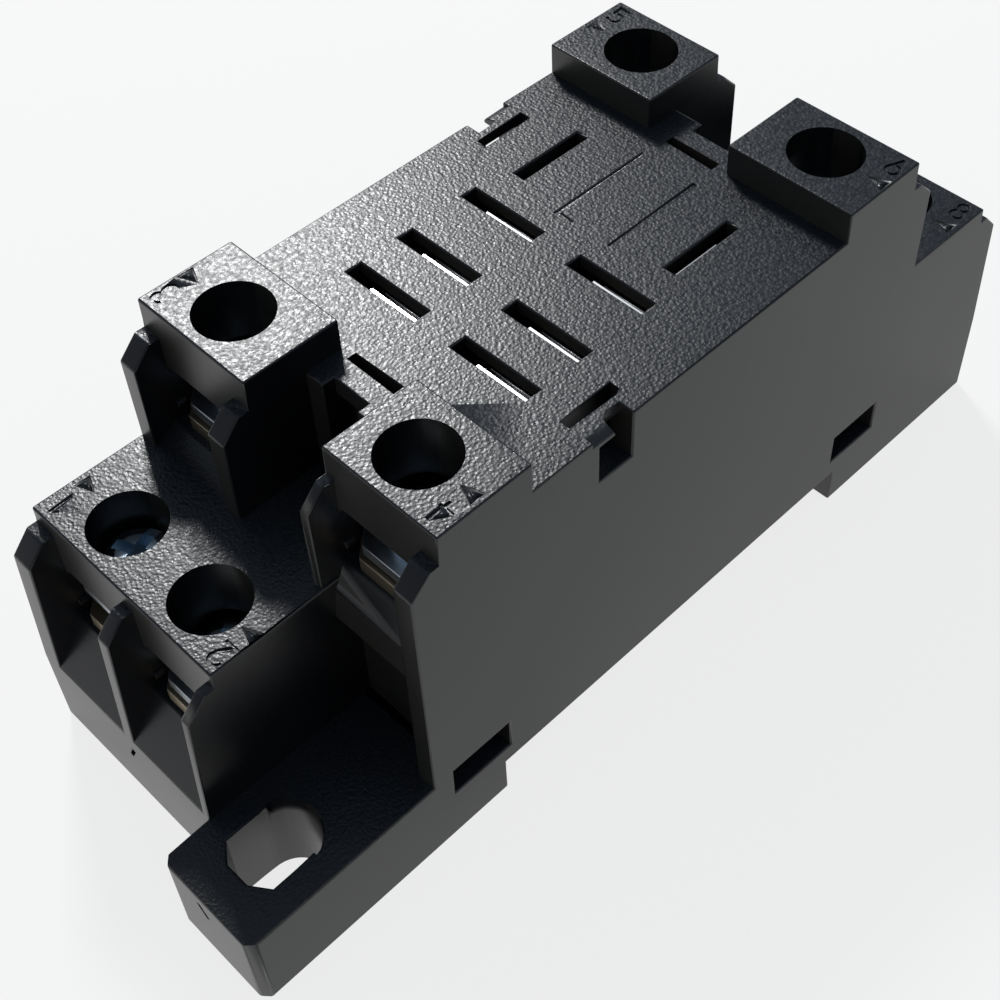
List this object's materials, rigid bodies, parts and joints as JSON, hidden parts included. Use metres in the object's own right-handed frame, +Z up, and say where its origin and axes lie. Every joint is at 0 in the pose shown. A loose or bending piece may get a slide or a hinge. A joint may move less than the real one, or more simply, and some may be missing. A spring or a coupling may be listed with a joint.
{
  "type": "relay socket",
  "caption": "Black moulded socket for a plug-in relay: slotted deck between raised corner blocks, stepped screw terminals at both ends, two mounting ears and a rail channel below.",
  "frame": {"origin": "centre of the bottom face of the overall box, on the plane of the two legs", "axes": "+X along the socket towards the fixed hook's end, +Y across it, +Z up out of the deck"},
  "size_m": [0.0786, 0.027, 0.0315],
  "materials": {
    "housing_black": "finely grained moulding, blue-black tops and greyer sides",
    "cover_black": "plain moulding",
    "lock_black": "plain moulding",
    "spring_steel": "plain spring strip",
    "terminal_brass": "dull plated brass strip",
    "contact_silver": "silver-plated spring strip",
    "clamp_zinc": "zinc plated",
    "screw_zinc": "bluish zinc plated"
  },
  "bodies": {
    "housing": {"housing": "housing_black", "base_cover": "cover_black", "lock_spring": "spring_steel", "terminal_1": "terminal_brass", "terminal_2": "terminal_brass", "terminal_3": "terminal_brass", "terminal_4": "terminal_brass", "terminal_5": "terminal_brass", "terminal_6": "terminal_brass", "terminal_7": "terminal_brass", "terminal_8": "terminal_brass", "contact_clip_1": "contact_silver", "contact_clip_2": "contact_silver", "contact_clip_3": "contact_silver", "contact_clip_4": "contact_silver", "contact_clip_5": "contact_silver", "contact_clip_6": "contact_silver", "contact_clip_7": "contact_silver", "contact_clip_8": "contact_silver"},
    "rail_lock": {"rail_lock": "lock_black"},
    "clamp_1": {"clamp_plate_1": "clamp_zinc"},
    "screw_1": {"terminal_screw_1": "screw_zinc"},
    "clamp_2": {"clamp_plate_2": "clamp_zinc"},
    "screw_2": {"terminal_screw_2": "screw_zinc"},
    "clamp_3": {"clamp_plate_3": "clamp_zinc"},
    "screw_3": {"terminal_screw_3": "screw_zinc"},
    "clamp_4": {"clamp_plate_4": "clamp_zinc"},
    "screw_4": {"terminal_screw_4": "screw_zinc"},
    "clamp_5": {"clamp_plate_5": "clamp_zinc"},
    "screw_5": {"terminal_screw_5": "screw_zinc"},
    "clamp_6": {"clamp_plate_6": "clamp_zinc"},
    "screw_6": {"terminal_screw_6": "screw_zinc"},
    "clamp_7": {"clamp_plate_7": "clamp_zinc"},
    "screw_7": {"terminal_screw_7": "screw_zinc"},
    "clamp_8": {"clamp_plate_8": "clamp_zinc"},
    "screw_8": {"terminal_screw_8": "screw_zinc"}
  },
  "joints": [
    {"name": "rail_lock_slide", "type": "slide", "parent": "housing", "child": "rail_lock", "axis": [-1, 0, 0], "range_m": [0, 0.002], "stiffness_N_per_m": 1000, "springref_m": -0.001, "deforming": ["lock_spring"]},
    {"name": "clamp_1_slide", "type": "slide", "parent": "housing", "child": "clamp_1", "axis": [0, 0, 1], "range_m": [-0.0025, 0.0002]},
    {"name": "screw_1_turn", "type": "hinge", "parent": "clamp_1", "child": "screw_1", "pos_m": [-0.0292, 0.008, 0.0158], "axis": [0, 0, 1], "range_deg": [-1502, 122]},
    {"name": "clamp_2_slide", "type": "slide", "parent": "housing", "child": "clamp_2", "axis": [0, 0, 1], "range_m": [-0.0003, 0.0022]},
    {"name": "screw_2_turn", "type": "hinge", "parent": "clamp_2", "child": "screw_2", "pos_m": [-0.0292, -0.0004, 0.0158], "axis": [0, 0, 1], "range_deg": [-181, 1322]},
    {"name": "clamp_3_slide", "type": "slide", "parent": "housing", "child": "clamp_3", "axis": [0, 0, 1], "range_m": [-0.0003, 0.0022]},
    {"name": "screw_3_turn", "type": "hinge", "parent": "clamp_3", "child": "screw_3", "pos_m": [-0.0184, 0.0083, 0.0265], "axis": [0, 0, 1], "range_deg": [-181, 1322]},
    {"name": "clamp_4_slide", "type": "slide", "parent": "housing", "child": "clamp_4", "axis": [0, 0, 1], "range_m": [-0.0003, 0.0022]},
    {"name": "screw_4_turn", "type": "hinge", "parent": "clamp_4", "child": "screw_4", "pos_m": [-0.0184, -0.0083, 0.0265], "axis": [0, 0, 1], "range_deg": [-181, 1322]},
    {"name": "clamp_5_slide", "type": "slide", "parent": "housing", "child": "clamp_5", "axis": [0, 0, 1], "range_m": [-0.0003, 0.0022]},
    {"name": "screw_5_turn", "type": "hinge", "parent": "clamp_5", "child": "screw_5", "pos_m": [0.0184, 0.0083, 0.0265], "axis": [0, 0, 1], "range_deg": [-181, 1322]},
    {"name": "clamp_6_slide", "type": "slide", "parent": "housing", "child": "clamp_6", "axis": [0, 0, 1], "range_m": [-0.0003, 0.0022]},
    {"name": "screw_6_turn", "type": "hinge", "parent": "clamp_6", "child": "screw_6", "pos_m": [0.0184, -0.0083, 0.0265], "axis": [0, 0, 1], "range_deg": [-181, 1322]},
    {"name": "clamp_7_slide", "type": "slide", "parent": "housing", "child": "clamp_7", "axis": [0, 0, 1], "range_m": [-0.0003, 0.0022]},
    {"name": "screw_7_turn", "type": "hinge", "parent": "clamp_7", "child": "screw_7", "pos_m": [0.0292, 0.0004, 0.0158], "axis": [0, 0, 1], "range_deg": [-181, 1322]},
    {"name": "clamp_8_slide", "type": "slide", "parent": "housing", "child": "clamp_8", "axis": [0, 0, 1], "range_m": [-0.0003, 0.0022]},
    {"name": "screw_8_turn", "type": "hinge", "parent": "clamp_8", "child": "screw_8", "pos_m": [0.0292, -0.008, 0.0158], "axis": [0, 0, 1], "range_deg": [-181, 1322]}
  ],
  "couplings": [
    {"joint": "screw_1_turn", "follows": "clamp_1_slide", "rad_per_m": 10472},
    {"joint": "screw_2_turn", "follows": "clamp_2_slide", "rad_per_m": 10472},
    {"joint": "screw_3_turn", "follows": "clamp_3_slide", "rad_per_m": 10472},
    {"joint": "screw_4_turn", "follows": "clamp_4_slide", "rad_per_m": 10472},
    {"joint": "screw_5_turn", "follows": "clamp_5_slide", "rad_per_m": 10472},
    {"joint": "screw_6_turn", "follows": "clamp_6_slide", "rad_per_m": 10472},
    {"joint": "screw_7_turn", "follows": "clamp_7_slide", "rad_per_m": 10472},
    {"joint": "screw_8_turn", "follows": "clamp_8_slide", "rad_per_m": 10472}
  ]
}
